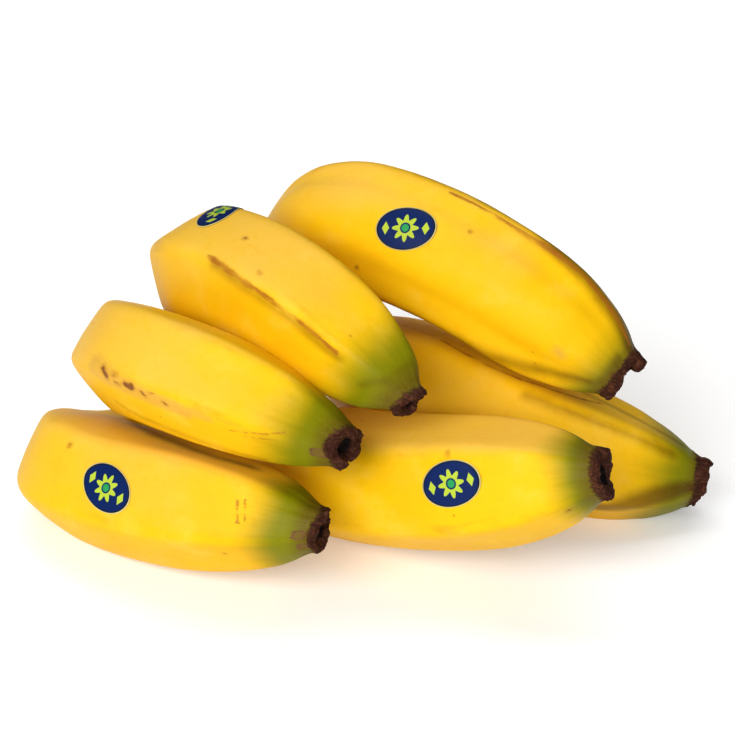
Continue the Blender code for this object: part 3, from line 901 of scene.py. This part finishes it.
def write_wear(mesh, finger, length, radius, shift):
    """How green the peel is, how much painted sheen it takes by the way each point faces, and how far it is
    from each kind of mark, painted shade among them, in millimetres.
    """
    grain = read_points(mesh, "grain", 3) - np.array((0.0, 0.0, shift))
    share = read_points(mesh, "share", 1)
    end = ENDINGS[finger.place_name]
    green = np.clip((share - end.green_from) / (GREEN_FULL - end.green_from), 0.0, 1.0)
    write_points(mesh, "green", green * end.green_amount)
    normals = np.empty(len(mesh.vertices) * 3)
    mesh.vertices.foreach_get("normal", normals)
    write_points(mesh, "bloom", np.clip(normals.reshape(-1, 3) @ np.array(PAINTED_SHEEN_SIDE), 0.0, 1.0))
    for kind in MARK_KINDS:
        nearest = np.full(len(grain), FAR_FROM_MARK)
        for mark_kind, half_width, route in MARKS[finger.place_name]:
            if mark_kind != kind:
                continue
            path = []
            for at, degrees in route:
                turn = math.radians(degrees)
                path.append(np.array((math.cos(turn) * radius, math.sin(turn) * radius, at * length)))
            nearest = np.minimum(nearest, distance_to_path(grain, path) / MM - half_width)
        write_points(mesh, kind, nearest)


def build_fingers(look):
    """The six skins, each from its stalk to its blossom end."""
    tree = finger_tree()
    peel = peel_material(look)
    for index, finger in enumerate(FINGERS):
        spine = Spine(finger)
        radius = look.fruit_radius * finger.girth
        shift = PATTERN_STEP * (index + 1)
        end = ENDINGS[finger.place_name]
        skin = new_object("peel_" + finger.place_name, bpy.data.meshes.new("sheet"))
        seat, bend_in, bend_out, tip = spine.poles
        worn, worn_angle = WORN_EDGES.get(finger.place_name, (0.0, 0))
        add_nodes(skin, tree, {
            "Seat": seat,
            "Bend In": bend_in,
            "Bend Out": bend_out,
            "Tip": tip,
            "Side": spine.side,
            "Length": spine.length,
            "Radius": radius,
            "Neck Scale": finger.neck,
            "Scar Scale": finger.scar,
            "Dry From": end.dry_from,
            "Turn": math.radians(finger.turn),
            "Skew": math.radians(finger.skew),
            "Worn Edge": worn,
            "Worn Edge Angle": math.radians(worn_angle),
            "Pattern Shift": shift,
            "Rings": look.rings,
            "Points Around": look.around + 1,
            "Undulation": look.undulation,
            "Crease Depth": look.crease,
            "Scar Lip": look.lip,
            "Scar Lumps": look.lump,
            "Scar Tilt": (*end.tilt, 0.0),
            "Lobe Heights": Vector(end.lobe_heights) * MM,
            "Lobe Angles": Vector(math.radians(angle) for angle in end.lobe_angles),
            "Material": peel,
        })
        settle(skin)
        write_wear(skin.data, finger, spine.length, radius, shift)
        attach(skin, "root")
        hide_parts("banana_" + finger.place_name)


def build_crown(look):
    """The crown's skin, grown over a copy of its solid with a sleeve that runs on to each stalk."""
    bm = bmesh.new()
    bm.from_mesh(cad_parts["crown"].data)
    bmesh.ops.remove_doubles(bm, verts=bm.verts, dist=0.01 * MM)
    for finger in FINGERS:
        seat, ahead, side, lift = Spine(finger).at(0.0)
        neck = look.fruit_radius * finger.girth * OUTLINE[0][1]
        turn = Matrix((side, lift, ahead)).transposed().to_4x4()
        bmesh.ops.create_cone(
            bm,
            cap_ends=True,
            segments=24,
            radius1=neck + SLEEVE_ROOT,
            radius2=neck + SLEEVE_FAR,
            depth=SLEEVE_LENGTH,
            matrix=Matrix.Translation(seat + ahead * SLEEVE_OUT) @ turn,
        )
    mesh = to_mesh(bm, "crown_skin")
    mesh.materials.clear()
    crown = new_object("crown_skin", mesh)
    grow = crown.modifiers.new("grow_together", "REMESH")
    grow.mode = "VOXEL"
    grow.voxel_size = look.voxel
    soften = crown.modifiers.new("soften", "SMOOTH")
    soften.factor = 0.5
    soften.iterations = 14
    out = cushion_out()
    add_nodes(crown, crown_tree(), {
        "Cut Point": CROWN_CENTRE - out * CUT_SET_BACK,
        "Cut Direction": -out,
        "Relief": CROWN_RELIEF,
        "Fibre Length": look.fibre_length,
        "Seed": FIBRE_SEED,
        "Material": crown_material(look),
    })
    settle(crown)
    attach(crown, "root")
    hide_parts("crown")


def drape_label(label, finger, skin, look, paper):
    """A flat oval of rings laid on the peel, with its pattern's coordinates and one end slightly lifted."""
    point, ahead, side, lift = Spine(finger).at(label.share)
    around = math.radians(label.angle)
    spin = math.radians(label.spin)
    outward = side * math.cos(around) + lift * math.sin(around)
    x_axis = ahead * math.cos(spin) + outward.cross(ahead) * math.sin(spin)
    y_axis = outward.cross(x_axis)
    above = point + outward * (look.fruit_radius * DROP_FROM)
    tree = BVHTree.FromPolygons([v.co for v in skin.data.vertices], [p.vertices for p in skin.data.polygons])
    bm = bmesh.new()
    flat = bm.verts.layers.float_vector.new("flat")

    def touch_down(x, y):
        start = above + x_axis * (x * paper.length / 2) + y_axis * (y * paper.width / 2)
        hit, normal, _, _ = tree.ray_cast(start, -outward)
        if hit is None:
            raise RuntimeError("the label " + label.place_name + " misses its finger")
        lifted = max(0.0, x * label.lifted_end - LIFT_FROM) / (1.0 - LIFT_FROM)
        vert = bm.verts.new(hit + normal * (GLUE + paper.lift * lifted**2))
        vert[flat] = (x, y, 0.0)
        return vert

    middle = touch_down(0.0, 0.0)
    loops = []
    turns = [math.tau * k / LABEL_SIDES for k in range(LABEL_SIDES)]
    for ring in range(1, LABEL_RINGS + 1):
        reach = ring / LABEL_RINGS
        loops.append([touch_down(reach * math.cos(t), reach * math.sin(t)) for t in turns])
    for k in range(LABEL_SIDES):
        following = (k + 1) % LABEL_SIDES
        bm.faces.new((middle, loops[0][k], loops[0][following]))
        for inner, outer in zip(loops, loops[1:]):
            bm.faces.new((inner[k], outer[k], outer[following], inner[following]))
    pattern = bm.loops.layers.uv.new("label")
    for face in bm.faces:
        face.smooth = True
        for corner in face.loops:
            x, y, _ = corner.vert[flat]
            corner[pattern].uv = (0.5 + x / 2, 0.5 + y / 2 * paper.width / paper.length)
    return to_mesh(bm, "label_" + label.place_name)


def build_labels(look, paper):
    """The four paper ovals."""
    finish = label_material(paper)
    fingers = {finger.place_name: finger for finger in FINGERS}
    for label in LABELS:
        skin = bpy.data.objects["peel_" + label.place_name]
        mesh = drape_label(label, fingers[label.place_name], skin, look, paper)
        mesh.materials.append(finish)
        oval = new_object("oval_" + label.place_name, mesh)
        thick = oval.modifiers.new("paper", "SOLIDIFY")
        thick.thickness = paper.paper
        thick.offset = 1.0
        settle(oval)
        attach(oval, "root")
        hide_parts("label_" + label.place_name)


def aim(obj, place, target):
    """Puts a lamp or camera at a place, looking at the target."""
    obj.location = place
    obj.rotation_euler = (target - place).to_track_quat("-Z", "Y").to_euler()


def add_lamp(lamp, power):
    """A square soft light aimed at a point."""
    data = bpy.data.lights.new(lamp.name + "_light", "AREA")
    data.shape = "SQUARE"
    data.size = lamp.size
    data.energy = power
    data.spread = math.radians(lamp.spread)
    aim(new_object(data.name, data), Vector(lamp.place), Vector(lamp.target))


def build_stage(look):
    """White floor, soft light from the upper left and a camera at the photograph's angle."""
    bm = bmesh.new()
    bmesh.ops.create_grid(bm, x_segments=8, y_segments=8, size=FLOOR_HALF)
    mesh = to_mesh(bm, "floor")
    mesh.materials.append(floor_material(look))
    floor = new_object("floor", mesh)

    for lamp in LAMPS:
        add_lamp(lamp, getattr(look, lamp.name))

    world = bpy.data.worlds.new("studio")
    world.use_nodes = True
    world.node_tree.nodes.clear()
    bench = Bench(world.node_tree)
    light = bench.node("ShaderNodeBackground", sockets={"Color": WHITE, "Strength": look.sky})
    bench.node("ShaderNodeOutputWorld", sockets={"Surface": light})
    bpy.context.scene.world = world
    bpy.context.scene.view_settings.view_transform = "Standard"

    data = bpy.data.cameras.new("camera")
    data.sensor_width = 36.0
    data.sensor_fit = "HORIZONTAL"
    data.lens = CAMERA_LENS
    data.clip_start = 0.05
    data.clip_end = 20.0
    camera = new_object("camera", data)
    back = Vector((0.0, -math.cos(CAMERA_ELEVATION), math.sin(CAMERA_ELEVATION)))
    aim(camera, CAMERA_TARGET + back * CAMERA_DISTANCE, CAMERA_TARGET)
    bpy.context.scene.camera = camera


class HAND_OT_fingers(bpy.types.Operator):
    """Build the skins of the six bananas"""

    bl_idname = "hand.fingers"
    bl_label = "Build Fingers"

    def execute(self, context):
        build_fingers(context.scene.hand_fruit)
        return {"FINISHED"}


class HAND_OT_crown(bpy.types.Operator):
    """Build the crown that joins the bananas"""

    bl_idname = "hand.crown"
    bl_label = "Build Crown"

    def execute(self, context):
        build_crown(context.scene.hand_fruit)
        return {"FINISHED"}


class HAND_OT_labels(bpy.types.Operator):
    """Lay the paper ovals on the peel"""

    bl_idname = "hand.labels"
    bl_label = "Lay Labels"

    def execute(self, context):
        build_labels(context.scene.hand_fruit, context.scene.hand_labels)
        return {"FINISHED"}


class HAND_OT_stage(bpy.types.Operator):
    """Set up the floor, the lights and the camera"""

    bl_idname = "hand.stage"
    bl_label = "Set Up Stage"

    def execute(self, context):
        build_stage(context.scene.hand_stage)
        return {"FINISHED"}


class HAND_PT_panel(bpy.types.Panel):
    """Lists the steps and the settings"""

    bl_idname = "HAND_PT_panel"
    bl_label = "Hand of Bananas"
    bl_space_type = "VIEW_3D"
    bl_region_type = "UI"
    bl_category = "Bananas"

    def draw(self, context):
        for step in STEPS:
            self.layout.operator(step.bl_idname)
        for group, cls in SETTINGS.items():
            box = self.layout.box()
            for name in cls.__annotations__:
                box.prop(getattr(context.scene, group), name)


SETTINGS = {"hand_fruit": HandSettings, "hand_labels": LabelSettings, "hand_stage": StageSettings}
STEPS = (HAND_OT_fingers, HAND_OT_crown, HAND_OT_labels, HAND_OT_stage)
CLASSES = (*SETTINGS.values(), *STEPS, HAND_PT_panel)


def register():
    for cls in CLASSES:
        bpy.utils.register_class(cls)
    for name, cls in SETTINGS.items():
        setattr(bpy.types.Scene, name, PointerProperty(type=cls))


def unregister():
    for name in SETTINGS:
        delattr(bpy.types.Scene, name)
    for cls in reversed(CLASSES):
        bpy.utils.unregister_class(cls)


def main():
    register()
    bpy.ops.hand.fingers()
    bpy.ops.hand.crown()
    bpy.ops.hand.labels()
    bpy.ops.hand.stage()


if __name__ == "__main__":
    main()
